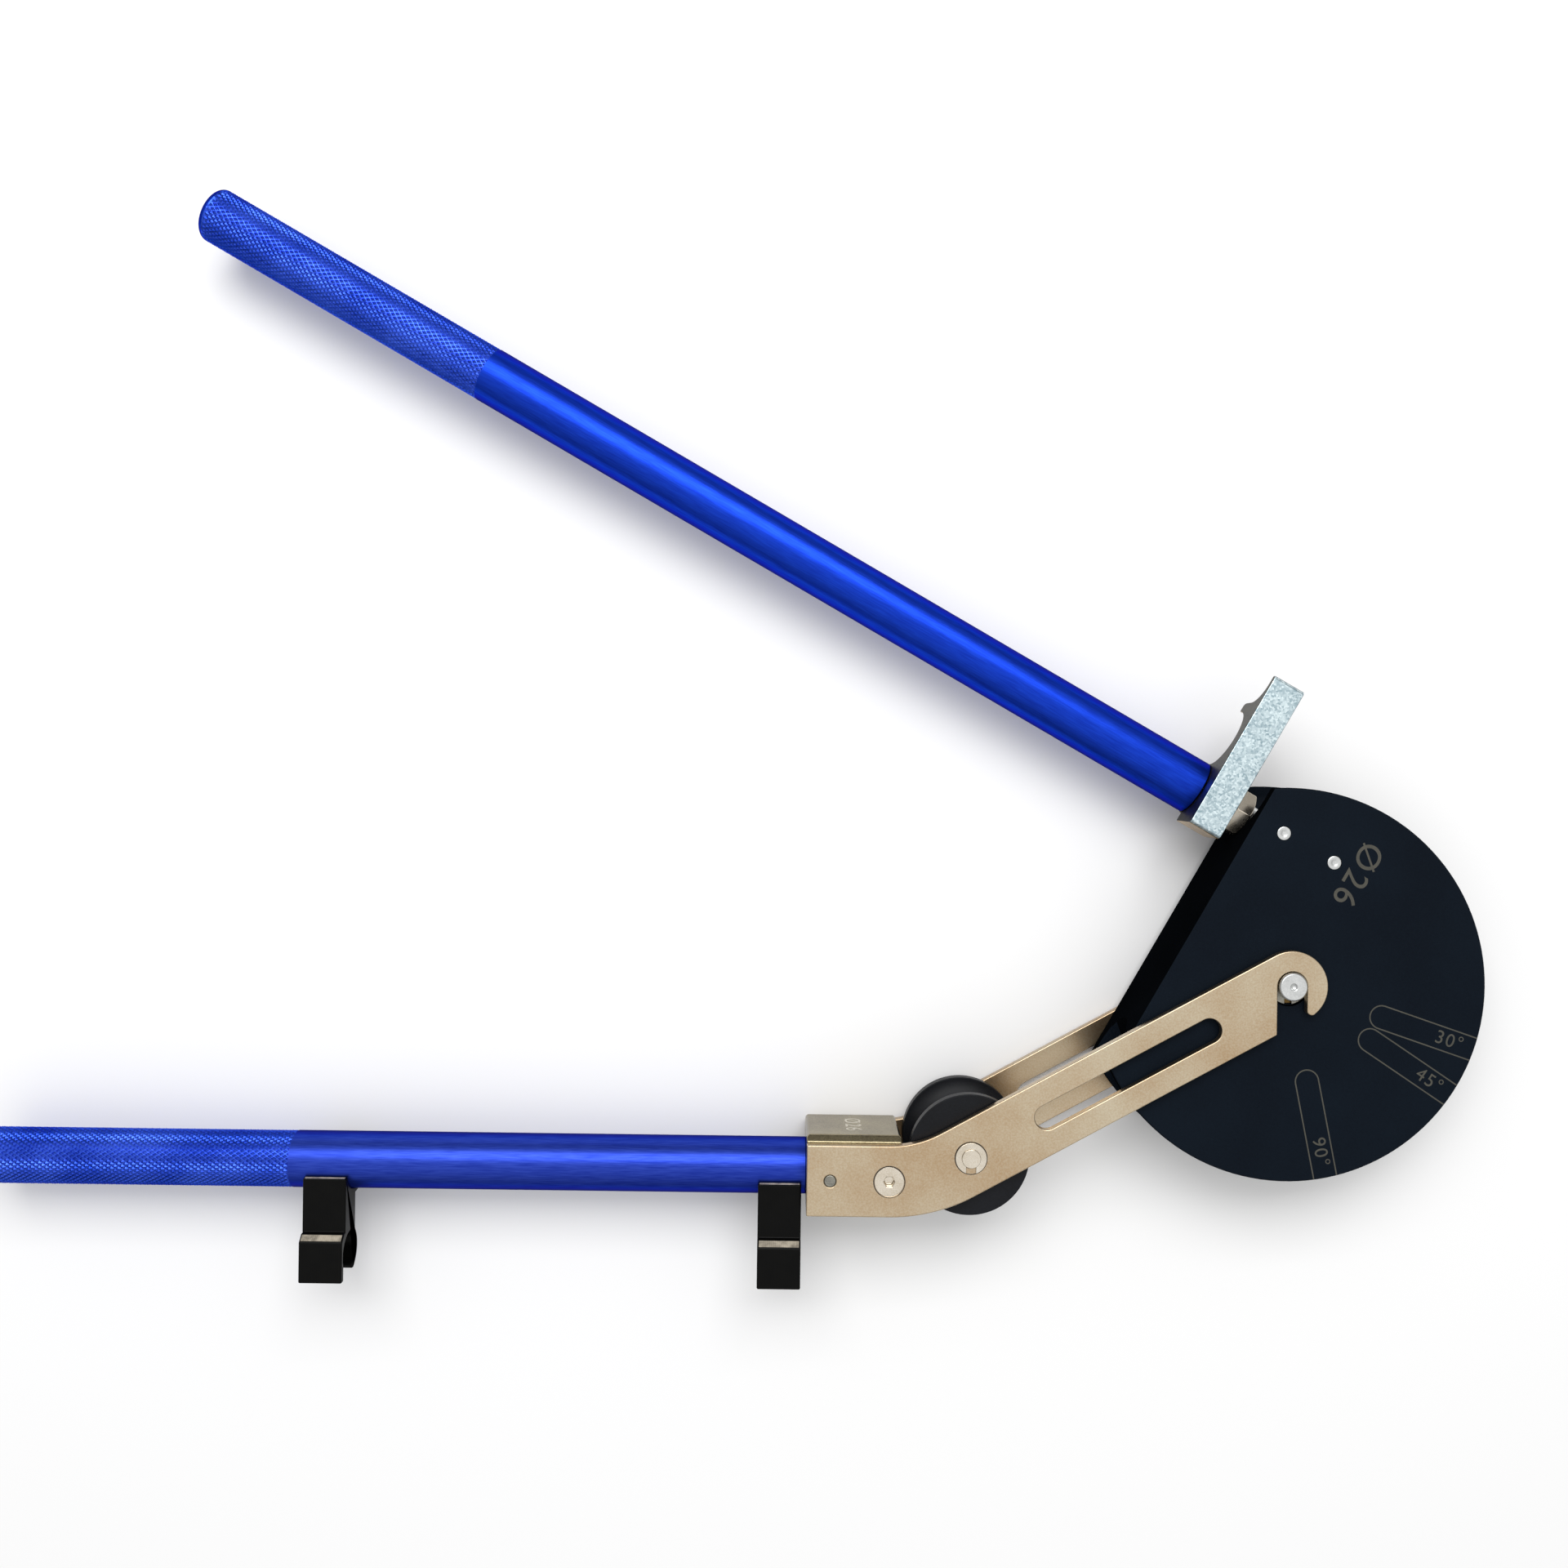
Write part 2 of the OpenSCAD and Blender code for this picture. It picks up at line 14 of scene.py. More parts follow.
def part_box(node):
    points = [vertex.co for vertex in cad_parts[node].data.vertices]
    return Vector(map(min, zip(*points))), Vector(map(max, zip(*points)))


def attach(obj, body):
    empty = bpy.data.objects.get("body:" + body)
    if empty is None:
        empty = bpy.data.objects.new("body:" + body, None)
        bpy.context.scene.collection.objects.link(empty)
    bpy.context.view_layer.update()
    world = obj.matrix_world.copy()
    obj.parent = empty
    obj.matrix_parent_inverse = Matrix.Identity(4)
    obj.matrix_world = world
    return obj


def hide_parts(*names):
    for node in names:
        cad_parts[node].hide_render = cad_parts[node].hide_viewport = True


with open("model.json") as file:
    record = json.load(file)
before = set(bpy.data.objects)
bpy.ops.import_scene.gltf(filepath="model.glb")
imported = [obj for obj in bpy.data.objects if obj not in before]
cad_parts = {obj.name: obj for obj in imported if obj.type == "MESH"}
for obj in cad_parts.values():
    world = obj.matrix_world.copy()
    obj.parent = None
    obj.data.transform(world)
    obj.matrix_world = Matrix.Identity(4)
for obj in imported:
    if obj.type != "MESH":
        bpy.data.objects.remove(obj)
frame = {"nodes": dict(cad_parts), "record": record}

LOG = logging.getLogger("tube_bender")
MM = 0.001
# Corners closer than this are one corner, in the shapes made here and in the construction meshes.
WELD = 0.001 * MM
NODE_WELD = 0.002 * MM
# Neighbouring faces that turn less than this, in degrees, count as one flat face.
FLAT_DEG = 0.5
# Steps round the full turn of a handle.
TURN_STEPS = 96
# How drawn grain is squeezed along its own direction.
DRAWN_STRETCH = (0.06, 1.0, 1.0)
# Distance between two bands of Blender's wave texture at a scale of 1.
WAVE_PERIOD = math.tau / 20
# Height of a capital as a share of the font's size, and the spacing of the characters.
CAPITAL_SHARE = 0.7
LETTER_SPACING = 1.15
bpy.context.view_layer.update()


def mount_place(name: str) -> tuple[Vector, Vector]:
    """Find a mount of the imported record.

    Args:
        name: The mount's name.

    Returns:
        Its place in metres and its axis.
    """
    mount = next(m for m in frame["record"]["mounts"] if m["name"] == name)
    return Vector(mount["pos_m"]), Vector(mount["axis"])


def joint_place(name: str) -> tuple[Vector, Vector]:
    """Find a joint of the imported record.

    Args:
        name: The joint's name.

    Returns:
        Its place in metres and its axis.
    """
    joint = next(j for j in frame["record"]["behaviour"]["joints"] if j["name"] == name)
    return Vector(joint["pos_m"]), Vector(joint["axis"])


def linear(hex_code: str) -> tuple[float, float, float, float]:
    """Turn an sRGB hex colour into Blender's linear colour.

    Args:
        hex_code: A colour such as "#2440b8".

    Returns:
        Linear red, green and blue with an alpha of 1.
    """
    parts = [int(hex_code[i:i + 2], 16) / 255 for i in (1, 3, 5)]
    red, green, blue = (c / 12.92 if c <= 0.04045 else ((c + 0.055) / 1.055) ** 2.4 for c in parts)
    return (red, green, blue, 1.0)


def add_node(material: bpy.types.Material | bpy.types.World, kind: str, settings: dict | None = None,
             links: dict | None = None) -> bpy.types.Node:
    """Add one node to a material or world with its settings and links.

    Args:
        material: The material or world that gets the node.
        kind: The node's Blender type name.
        settings: Values for input sockets by name or number, or for attributes when the name
            starts with a dot.
        links: Output sockets of other nodes, by the name or number of the input that they feed.

    Returns:
        The new node.
    """
    tree = material.node_tree
    node = tree.nodes.new(kind)
    for key, value in (settings or {}).items():
        if isinstance(key, str) and key.startswith("."):
            setattr(node, key[1:], value)
        else:
            node.inputs[key].default_value = value
    for key, socket in (links or {}).items():
        tree.links.new(socket, node.inputs[key])
    return node


class Grain(Enum):
    """How a surface's fine texture runs."""

    BLASTED = "even in all directions"
    DRAWN = "stretched along one direction"
    SPANGLED = "patches of crystals"
    LAYERED = "thin layers one on another along the handle"


@dataclass(frozen=True)
class Finish:
    """A surface finish, named for what the real material is, or for the light or shade painted into it.

    Attributes:
        name: The material's name.
        dark: Colour of the pattern's dark parts.
        light: Colour of the pattern's light parts.
        metallic: 1 for bare or dyed metal, 0 for plastic.
        roughness: Mean roughness.
        spread: How far the roughness varies to each side.
        grain: How the fine texture runs.
        grain_mm: Real size of one grain, in millimetres.
        patch_mm: Real size of the slow colour changes, in millimetres.
        bump_mm: Height of the grain, in millimetres.
        along: Direction of drawn grain, in degrees about Z from +X.
        ior: Index of refraction of a plastic.
        specular: Specular level of a plastic.
        cloud: Share of the colour change that the slow patches carry; the grain carries the rest.
        edge_tint: Colour of a metal's reflection near grazing.
    """

    name: str
    dark: str
    light: str
    metallic: float
    roughness: float
    spread: float = 0.05
    grain: Grain = Grain.BLASTED
    grain_mm: float = 0.6
    patch_mm: float = 25.0
    bump_mm: float = 0.01
    along: float = 0.0
    ior: float = 1.5
    specular: float = 0.5
    cloud: float = 0.45
    edge_tint: str = "#ffffff"

    def material(self) -> bpy.types.Material:
        """Build the finish once, or hand back the one already built.

        Returns:
            The finish as a Blender material.
        """
        made = bpy.data.materials.get(self.name)
        if made:
            return made
        made = bpy.data.materials.new(self.name)
        made.use_nodes = True
        made.node_tree.nodes.clear()
        place = add_node(made, "ShaderNodeTexCoord")
        stretch = DRAWN_STRETCH if self.grain is Grain.DRAWN else (1.0, 1.0, 1.0)
        turned = add_node(made, "ShaderNodeMapping",
                          {"Rotation": (0, 0, -math.radians(self.along))},
                          {"Vector": place.outputs["Object"]})
        mapped = add_node(made, "ShaderNodeMapping", {"Scale": stretch}, {"Vector": turned.outputs[0]})
        fine = self.fine_pattern(made, mapped.outputs[0])
        slow = add_node(made, "ShaderNodeTexNoise", {"Scale": 1 / (self.patch_mm * MM), "Detail": 3.0},
                        {"Vector": mapped.outputs[0]})
        patches = add_node(made, "ShaderNodeMapRange", {"From Min": 0.35, "From Max": 0.65},
                           {"Value": slow.outputs[0]})
        blend = add_node(made, "ShaderNodeMath", {".operation": "MULTIPLY_ADD", 1: 1 - self.cloud},
                         {0: fine, 2: self.scaled(made, patches.outputs[0], self.cloud)})
        colour = add_node(made, "ShaderNodeMix", {".data_type": "RGBA", 6: linear(self.dark),
                                                  7: linear(self.light)}, {0: blend.outputs[0]})
        rough = add_node(made, "ShaderNodeMapRange", {"To Min": self.roughness - self.spread,
                                                      "To Max": self.roughness + self.spread},
                         {"Value": slow.outputs[0]})
        bump = add_node(made, "ShaderNodeBump", {"Strength": 0.6, "Distance": self.bump_mm * MM},
                        {"Height": fine})
        shader = add_node(made, "ShaderNodeBsdfPrincipled",
                          {"Metallic": self.metallic, "IOR": self.ior, "Specular IOR Level": self.specular,
                           "Specular Tint": linear(self.edge_tint)},
                          {"Base Color": colour.outputs[2], "Roughness": rough.outputs[0],
                           "Normal": bump.outputs[0]})
        add_node(made, "ShaderNodeOutputMaterial", None, {"Surface": shader.outputs[0]})
        return made

    def scaled(self, made: bpy.types.Material, value: bpy.types.NodeSocket,
               factor: float) -> bpy.types.NodeSocket:
        """Multiply a value by a constant.

        Args:
            made: The material being built.
            value: The socket to scale.
            factor: The constant.

        Returns:
            The scaled value's socket.
        """
        return add_node(made, "ShaderNodeMath", {".operation": "MULTIPLY", 1: factor}, {0: value}).outputs[0]

    def fine_pattern(self, made: bpy.types.Material, vector: bpy.types.NodeSocket) -> bpy.types.NodeSocket:
        """Build the fine grain.

        Args:
            made: The material being built.
            vector: The coordinates that the grain reads.

        Returns:
            A socket from 0 to 1.
        """
        scale = 1 / (self.grain_mm * MM)
        if self.grain is Grain.SPANGLED:
            cells = add_node(made, "ShaderNodeTexVoronoi", {"Scale": scale}, {"Vector": vector})
            return add_node(made, "ShaderNodeSeparateColor", None, {0: cells.outputs["Color"]}).outputs[0]
        if self.grain is Grain.LAYERED:
            layers = add_node(made, "ShaderNodeTexWave",
                              {"Scale": WAVE_PERIOD * scale, "Distortion": 0.4, ".bands_direction": "X"},
                              {"Vector": vector})
            return layers.outputs[1]
        noise = add_node(made, "ShaderNodeTexNoise", {"Scale": scale, "Detail": 2.0}, {"Vector": vector})
        return add_node(made, "ShaderNodeMapRange", {"From Min": 0.3, "From Max": 0.7},
                        {"Value": noise.outputs[0]}).outputs[0]


# Direction of the upper handle, in degrees about Z from +X.
UPPER_ANGLE = math.degrees(math.atan2(mount_place("tube_seat")[1].y, mount_place("tube_seat")[1].x))

# Dyed anodising over a drawn aluminium tube: a deep blue metal with faint lengthwise streaks. Its
# outline is darker, because light that grazes it crosses more of the dye.
UPPER_BLUE = Finish("blue_anodised_drawn_tube_upper", "#102a9c", "#1c44c8", 0.92, 0.34, 0.04,
                    Grain.DRAWN, 0.5, 30.0, 0.004, UPPER_ANGLE, edge_tint="#16246c")
LOWER_BLUE = Finish("blue_anodised_drawn_tube_lower", "#1b2f96", "#3850bc", 0.92, 0.37, 0.04,
                    Grain.DRAWN, 0.5, 30.0, 0.004, 0.0, edge_tint="#16246c")
# The same dye over pressed diamonds, which scatter the light more.
KNURL_BLUE = Finish("blue_anodised_knurl", "#1836ae", "#4466e4", 0.92, 0.26, 0.04,
                    Grain.BLASTED, 0.8, 20.0, 0.006, edge_tint="#1c2c7c")
# Hard anodising over milled aluminium: nearly black with a cold blue cast and a fine dull tooth.
HARD_BLACK = Finish("black_hard_anodised_aluminium", "#0a1018", "#0f1720", 0.0, 0.5, 0.05,
                    Grain.BLASTED, 0.5, 40.0, 0.008, specular=0.04)
# Painted shade: the same coat made darker and without gloss on every face of the former that does not look
# up, its turned groove and milled flat among them.
PAINTED_SHADE_BLACK = Finish("black_hard_anodised_with_painted_shade", "#040506", "#090b0e", 0.0, 0.55, 0.05,
                      Grain.BLASTED, 0.5, 40.0, 0.004, specular=0.0)
# The roller has the same coat, turned and a little smoother.
TURNED_BLACK = Finish("black_anodised_turned_aluminium", "#0a0b0e", "#13151a", 0.0, 0.42, 0.05,
                      Grain.BLASTED, 0.7, 18.0, 0.006, specular=0.16)
# Chemical nickel on sawn and tumbled steel: a warm satin metal with faint clouds.
SATIN_NICKEL = Finish("satin_nickel_plated_steel", "#b09574", "#cdc2aa", 1.0, 0.32, 0.08,
                      Grain.BLASTED, 0.7, 48.0, 0.006, cloud=0.6)
# The same plating on turned and rolled parts, brighter because they were polished first.
BRIGHT_NICKEL = Finish("bright_nickel_plated_steel", "#c4b8a4", "#ded6c8", 1.0, 0.2, 0.05,
                       Grain.BLASTED, 0.5, 8.0, 0.003)
# Zinc plate on bright steel: pale, cold, and spangled in patches about a millimetre wide.
ZINC_PLATE = Finish("zinc_plated_steel", "#8ea4ad", "#dceaed", 1.0, 0.34, 0.06,
                    Grain.SPANGLED, 0.8, 6.0, 0.006, cloud=0.15)
# The nickel plate over a milled and polished block, which mirrors more of the room.
POLISHED_BLOCK = Finish("polished_nickel_plated_block", "#665c46", "#9c9174", 1.0, 0.2, 0.06,
                        Grain.BLASTED, 0.7, 16.0, 0.004)
# Painted reflection: the hook's milled end, coloured a brighter warm beige that stands in for what it
# mirrors.
PAINTED_REFLECTION_ZINC = Finish("zinc_with_painted_warm_reflection", "#9c8462", "#d8c09a", 1.0, 0.34, 0.06,
                       Grain.BLASTED, 0.8, 5.0, 0.008)
# Painted shade: the hook's sides that do not look up, made nearly black.
PAINTED_SHADE_ZINC = Finish("zinc_with_painted_shade", "#23241f", "#5a574c", 1.0, 0.4, 0.06,
                   Grain.BLASTED, 0.8, 5.0, 0.008)
# Ground steel pins.
GROUND_STEEL = Finish("ground_steel", "#bfc1c0", "#dfe0df", 1.0, 0.28, 0.06,
                      Grain.BLASTED, 0.4, 5.0, 0.004)
# Oiled spring steel rings.
SPRING_STEEL = Finish("oiled_spring_steel", "#77766f", "#9a988e", 1.0, 0.34, 0.06,
                      Grain.BLASTED, 0.5, 4.0, 0.004)
# Sintered bronze bushes, dark with the oil they hold.
BRONZE = Finish("sintered_bronze", "#584628", "#7c6238", 1.0, 0.42, 0.05,
                Grain.BLASTED, 0.3, 4.0, 0.01)
# Bare turned aluminium inserts.
BARE_ALUMINIUM = Finish("turned_aluminium", "#b4b7bb", "#d0d3d6", 1.0, 0.32, 0.05,
                        Grain.BLASTED, 0.4, 8.0, 0.004)
# Natural nylon washers.
NYLON = Finish("natural_nylon", "#ddd8c8", "#efeade", 0.0, 0.5, 0.05,
               Grain.BLASTED, 0.5, 6.0, 0.004)
# Black nylon of the clips: dull, with fine layers along its length.
BLACK_NYLON = Finish("black_printed_nylon", "#030303", "#080807", 0.0, 0.34, 0.06,
                     Grain.LAYERED, 0.6, 6.0, 0.02, specular=0.08)
# Painted highlight: the same nylon, pale and glossier, on the ridge that hands and tubes slide over, where
# its faces look towards the lamp.
PAINTED_HIGHLIGHT_NYLON = Finish("black_nylon_with_painted_highlight", "#5c564c", "#b5ab99", 0.0, 0.3, 0.06,
                      Grain.LAYERED, 0.6, 3.0, 0.01, specular=0.4, cloud=0.7)
# Painted shade: a dark line for the shade in the narrow gap round a screw head or a ring.
PAINTED_GAP_SHADE = Finish("painted_shade_in_a_gap", "#14110d", "#2a251d", 0.0, 0.45, 0.05,
                    Grain.BLASTED, 0.3, 2.0, 0.004)
# Laser marks: a pale warm grey where the dye is burnt out of the anodising.
LASER_MARK = Finish("laser_marked_anodising", "#3b3a33", "#4c4a41", 0.2, 0.6, 0.05,
                    Grain.BLASTED, 0.4, 5.0, 0.002)
# The same laser on nickel leaves a pale frosted trace.
BLOCK_MARK = Finish("laser_marked_nickel", "#b9b3a2", "#d2cdbf", 0.3, 0.6, 0.05,
                    Grain.BLASTED, 0.4, 5.0, 0.002)


def new_piece(name: str, shape: bmesh.types.BMesh, finish: Finish, body: str,
              smooth_below: float = 50.0) -> bpy.types.Object:
    """Turn a finished bmesh into a dressed piece that rides on a body.

    Args:
        name: The piece's name.
        shape: The mesh, which is freed.
        finish: What it is made of.
        body: The construction body that it moves with.
        smooth_below: Edges flatter than this, in degrees, are shaded smooth.

    Returns:
        The new object.
    """
    mesh = bpy.data.meshes.new(name)
    shape.to_mesh(mesh)
    shape.free()
    mesh.polygons.foreach_set("use_smooth", [True] * len(mesh.polygons))
    mesh.set_sharp_from_angle(angle=math.radians(smooth_below))
    mesh.materials.append(finish.material())
    piece = bpy.data.objects.new(name, mesh)
    bpy.context.scene.collection.objects.link(piece)
    evened = piece.modifiers.new("flat_faces_stay_flat", "WEIGHTED_NORMAL")
    evened.keep_sharp = True
    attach(piece, body)
    LOG.info("piece %s: %d faces on %s", name, len(mesh.polygons), body)
    return piece


def soften(node: str, width_mm: float, segments: int = 2, sharp_deg: float = 40.0) -> bmesh.types.BMesh:
    """Copy a construction node's mesh and break its sharp edges.

    Args:
        node: The node to copy.
        width_mm: Width of the broken edges, in millimetres.
        segments: Steps across each broken edge.
        sharp_deg: Only edges sharper than this, in degrees, are broken.

    Returns:
        The copy, with its edges bevelled.
    """
    shape = bmesh.new()
    shape.from_mesh(frame["nodes"][node].data)
    bmesh.ops.remove_doubles(shape, verts=shape.verts, dist=NODE_WELD)
    bmesh.ops.dissolve_limit(shape, angle_limit=math.radians(FLAT_DEG), verts=shape.verts,
                             edges=shape.edges)
    if width_mm > 0:
        sharp = [e for e in shape.edges
                 if len(e.link_faces) == 2 and e.calc_face_angle(0.0) > math.radians(sharp_deg)]
        bmesh.ops.bevel(shape, geom=sharp, offset=width_mm * MM, offset_type="OFFSET", affect="EDGES",
                        segments=segments, profile=0.5, material=-1, clamp_overlap=False)
    bmesh.ops.recalc_face_normals(shape, faces=shape.faces)
    return shape


@dataclass(frozen=True)
class Patch:
    """Another finish on the faces that look one way.

    Attributes:
        finish: The other finish.
        direction: The way that the faces look.
        least: Least cosine between a face's normal and that direction.
        least_area: Smallest face that takes it, in square metres.
    """

    finish: Finish
    direction: tuple[float, float, float]
    least: float
    least_area: float = 0.0

    def covers(self, face: bpy.types.MeshPolygon) -> bool:
        """Tell whether a face takes the finish."""
        return face.normal.dot(Vector(self.direction)) > self.least and face.area > self.least_area


# Painted shade on every face of the former, and of the hook, but those that look up.
SHADED_GROOVE = Patch(PAINTED_SHADE_BLACK, (0, 0, -1), -0.6)
SHADED_HOOK = Patch(PAINTED_SHADE_ZINC, (0, 0, -1), -0.6)
# The hook's milled end, which takes a painted reflection.
MILLED_END = Patch(PAINTED_REFLECTION_ZINC, (-0.494, -0.869, 0), 0.8)
# Painted highlight on a clip's ridge, but not on the small faces at its corners.
RIDGE_PAINTED_HIGHLIGHT = Patch(PAINTED_HIGHLIGHT_NYLON, (0, 0.7, 0.7), 0.8, 12e-6)


@dataclass
class NodeCoat:
    """A construction node shown with its edges broken.

    Attributes:
        node: The node that it replaces.
        body: The body that it moves with.
        slot: The record's material slot; not used.
        finish: What it is made of.
        edge_mm: Width of its broken edges; 0 leaves them sharp.
        segments: Steps across each broken edge.
        sharp_deg: Only edges sharper than this, in degrees, are broken.
        dimple_mm: Radius of the punch mark in each flat round end; 0 leaves the ends plain.
        patches: Other finishes by the way that faces look; the last that covers a face wins.
        flat: Least share of a round end's normal that runs along Z.
        corners: A flat face with more corners than this is a round end.
    """

    node: str
    body: str
    slot: str
    finish: Finish
    edge_mm: float = 0.3
    segments: int = 2
    sharp_deg: float = 40.0
    dimple_mm: float = 0.0
    patches: tuple[Patch, ...] = ()
    flat: float = 0.99
    corners: int = 12

    def dress_patches(self, piece: bpy.types.Object) -> None:
        """Give the other finishes to the faces that they belong on.

        Args:
            piece: The finished piece.
        """
        for number, patch in enumerate(self.patches, 1):
            piece.data.materials.append(patch.finish.material())
            for face in piece.data.polygons:
                if patch.covers(face):
                    face.material_index = number

    def punch(self, shape: bmesh.types.BMesh) -> None:
        """Sink a punch mark into each end that faces up or down.

        Args:
            shape: The piece.
        """
        for end in [f for f in shape.faces
                    if abs(f.normal.z) > self.flat and len(f.verts) > self.corners]:
            reach = (end.verts[0].co - end.calc_center_median()).length
            bmesh.ops.inset_region(shape, faces=[end], thickness=reach - self.dimple_mm * MM,
                                   use_even_offset=True)
            bmesh.ops.inset_region(shape, faces=[end], thickness=0.5 * self.dimple_mm * MM,
                                   depth=-0.4 * self.dimple_mm * MM, use_even_offset=True)

    def build(self) -> bpy.types.Object:
        """Make the piece and hide the node behind it.

        Returns:
            The finished piece.
        """
        shape = soften(self.node, self.edge_mm, self.segments, self.sharp_deg)
        if self.dimple_mm:
            self.punch(shape)
        piece = new_piece(f"{self.node}_finished", shape, self.finish, self.body)
        self.dress_patches(piece)
        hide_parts(self.node)
        return piece


@dataclass
class Handle:
    """A drawn handle tube with a diamond-knurled grip and a rounded end.

    Attributes:
        node: The tube's construction node.
        plug: The end plug's construction node.
        body: The body that it moves with.
        start: The inner end's centre.
        along: Direction from the inner end to the free end.
        finish: Finish of the plain length.
        radius_mm: Outside radius.
        bore_mm: Bore radius.
        grip_mm: Length of the knurl.
        round_mm: Rounding of the free end.
        plug_mm: Length of the plug in the free end.
        diamonds: Diamonds round the handle.
        depth_mm: Depth of the knurl.
        slant: Length of a diamond divided by its width.
        samples: Mesh steps across one diamond.
        edge_mm: Width of the inner end's broken edge.
        fade_mm: Length over which the knurl runs out before the free end.
        sink_mm: How far the free end lies below the plain radius.
        joint_mm: Depth of the line between the tube and its plug.
        arc_steps: Steps round the curve of the free end.
    """

    node: str
    plug: str
    body: str
    start: Vector
    along: Vector
    finish: Finish
    radius_mm: float = 12.0
    bore_mm: float = 9.5
    grip_mm: float = 139.5
    round_mm: float = 2.4
    plug_mm: float = 9.0
    diamonds: int = 36
    depth_mm: float = 0.6
    slant: float = 1.5
    samples: int = 6
    edge_mm: float = 0.4
    fade_mm: float = 1.2
    sink_mm: float = 0.1
    joint_mm: float = 0.25
    arc_steps: int = 8

    @property
    def length(self) -> float:
        """Length of the tube, from its node's box less its width and plus its rounding.

        Returns:
            The length in metres.
        """
        low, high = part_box(self.node)
        lean = abs(self.along.x), abs(self.along.y)
        rounded_off = self.round_mm * MM * (sum(lean) - 1)
        return (high.x - low.x - 2 * self.radius_mm * MM * lean[1] + rounded_off) / lean[0]

    def placed(self, shape: bmesh.types.BMesh) -> bmesh.types.BMesh:
        """Lay a shape built along +Z onto the handle's axis.

        Args:
            shape: The shape, with its inner end at the origin.

        Returns:
            The same shape, in place.
        """
        turn = self.along.to_track_quat("Z", "Y").to_matrix().to_4x4()
        bmesh.ops.transform(shape, matrix=Matrix.Translation(self.start) @ turn, verts=shape.verts)
        bmesh.ops.recalc_face_normals(shape, faces=shape.faces)
        return shape

    def spun(self, profile: Iterable[tuple[float, float]], steps: int,
             closed: bool) -> bmesh.types.BMesh:
        """Spin a profile about Z.

        Args:
            profile: Points as radius and height, in metres.
            steps: Steps round the full turn.
            closed: Whether the last point joins the first; a profile from axis to axis stays open.

        Returns:
            The turned surface.
        """
        shape = bmesh.new()
        points = [shape.verts.new((radius, 0, height)) for radius, height in profile]
        ends = points[1:] + (points[:1] if closed else [])
        edges = [shape.edges.new(pair) for pair in zip(points, ends)]
        bmesh.ops.spin(shape, geom=points + edges, cent=(0, 0, 0), axis=(0, 0, 1),
                       angle=math.tau, steps=steps, use_merge=True)
        bmesh.ops.remove_doubles(shape, verts=shape.verts, dist=WELD)
        return shape

    def build_plain(self) -> bpy.types.Object:
        """Turn the plain length, with its bore and its inner end.

        Returns:
            The piece.
        """
        radius, bore, edge = self.radius_mm * MM, self.bore_mm * MM, self.edge_mm * MM
        end = self.length - self.grip_mm * MM
        # The middle of a rounded edge stands about 0.3 of its width in from the corner.
        bulge = 0.3 * edge
        profile = [(bore, end), (bore, 0.0), (radius - edge, 0.0), (radius - bulge, bulge),
                   (radius, edge), (radius, end)]
        shape = self.placed(self.spun(profile, TURN_STEPS, True))
        piece = new_piece(f"{self.node}_plain", shape, self.finish, self.body)
        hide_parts(self.node)
        return piece

    def build_grip(self) -> bpy.types.Object:
        """Turn the grip and press the diamonds into it.

        Returns:
            The piece.
        """
        radius, bore, depth = self.radius_mm * MM, self.bore_mm * MM, self.depth_mm * MM
        pitch = math.tau * radius / self.diamonds
        rows = round(self.grip_mm * MM / (pitch * self.slant / self.samples))
        base = self.length - self.grip_mm * MM
        step = (self.grip_mm - self.round_mm) * MM / rows
        profile = [(radius, base + step * i) for i in range(rows + 1)]
        profile += [(bore, base + step * rows), (bore, base)]
        shape = self.spun(profile, self.diamonds * self.samples, True)
        fade, sink = self.fade_mm * MM, self.sink_mm * MM
        for vert in [v for v in shape.verts if math.hypot(v.co.x, v.co.y) > (radius + bore) / 2]:
            turn = math.atan2(vert.co.y, vert.co.x) / math.tau * self.diamonds
            run = (vert.co.z - base) / step / self.samples
            height = min(self.ridge(run + turn), self.ridge(run - turn))
            left = min((base + step * rows - vert.co.z) / fade, 1.0)
            drop = depth * (1 - height) * left + sink * (1 - left)
            shrink = (radius - drop) / radius
            vert.co.x *= shrink
            vert.co.y *= shrink
        return new_piece(f"{self.node}_grip", self.placed(shape), KNURL_BLUE, self.body,
                         smooth_below=20.0)

    def ridge(self, turn: float) -> float:
        """Height of one set of ridges, from 0 in a groove to 1 on a crest.

        Args:
            turn: Position across the grooves, in pitches.

        Returns:
            The height.
        """
        return 1 - abs(2 * (turn % 1.0) - 1)

    def build_end(self) -> bpy.types.Object:
        """Turn the rounded closed end with the plug that reaches into the bore.

        Returns:
            The piece.
        """
        length, curve, bore = self.length, self.round_mm * MM, self.bore_mm * MM
        radius = (self.radius_mm - self.sink_mm) * MM
        inside = [(0.0, length - self.plug_mm * MM), (bore, length - self.plug_mm * MM),
                  (bore, length - curve)]
        arc = [(radius - curve * (1 - math.cos(a)), length - curve * (1 - math.sin(a)))
               for a in (math.pi / 2 * i / self.arc_steps for i in range(self.arc_steps + 1))]
        joint = self.joint_mm * MM
        face = [(bore, length), (bore - joint, length - joint), (bore - 2 * joint, length), (0.0, length)]
        shape = self.placed(self.spun(inside + arc + face, TURN_STEPS, False))
        piece = new_piece(f"{self.plug}_finished", shape, self.finish, self.body)
        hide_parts(self.plug)
        return piece

    def build(self) -> None:
        """Make the whole handle."""
        self.build_plain()
        self.build_grip()
        self.build_end()


